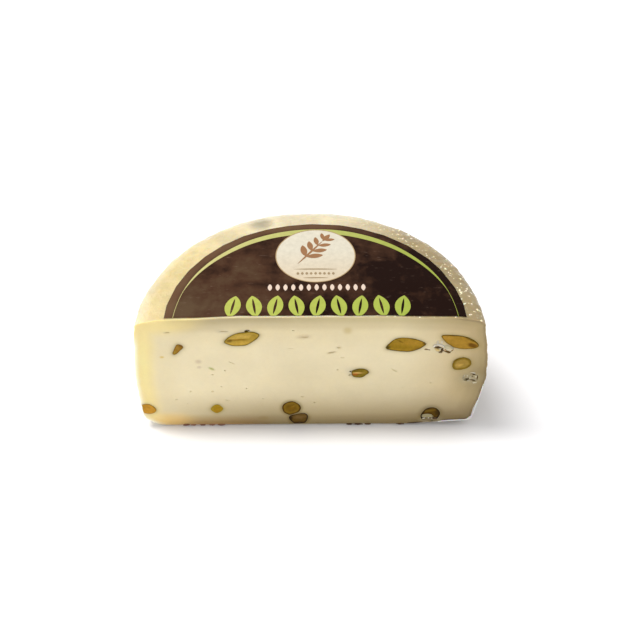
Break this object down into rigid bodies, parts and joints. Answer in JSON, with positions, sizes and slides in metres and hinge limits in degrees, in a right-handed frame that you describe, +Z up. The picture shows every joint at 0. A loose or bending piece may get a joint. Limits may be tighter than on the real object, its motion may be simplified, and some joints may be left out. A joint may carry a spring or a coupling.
{
  "type": "half wheel of pecorino cheese with pistachios",
  "caption": "Half of a small round pecorino, cut side out, with whole pistachios in the paste and a round paper label on its flat top; it rests on its flat base.",
  "frame": {"origin": "middle of the base of the bounding box, on the surface the cheese lies on", "axes": "+X along the cut from its left end to its right end, +Y from the cut into the cheese, +Z up"},
  "size_m": [0.1528, 0.0766, 0.0701],
  "materials": {
    "cheese": "waxy cream paste with a straw-coloured rind",
    "label": "satin coated paper, dark brown",
    "pistachio": "cut kernel, olive gold with a darker skin"
  },
  "bodies": {
    "root": {"cheese": "cheese", "label": "label", "pistachio_1": "pistachio", "pistachio_2": "pistachio", "pistachio_3": "pistachio", "pistachio_4": "pistachio", "pistachio_5": "pistachio", "pistachio_6": "pistachio", "pistachio_7": "pistachio", "pistachio_8": "pistachio", "pistachio_9": "pistachio", "pistachio_10": "pistachio", "pistachio_11": "pistachio"}
  },
  "joints": []
}
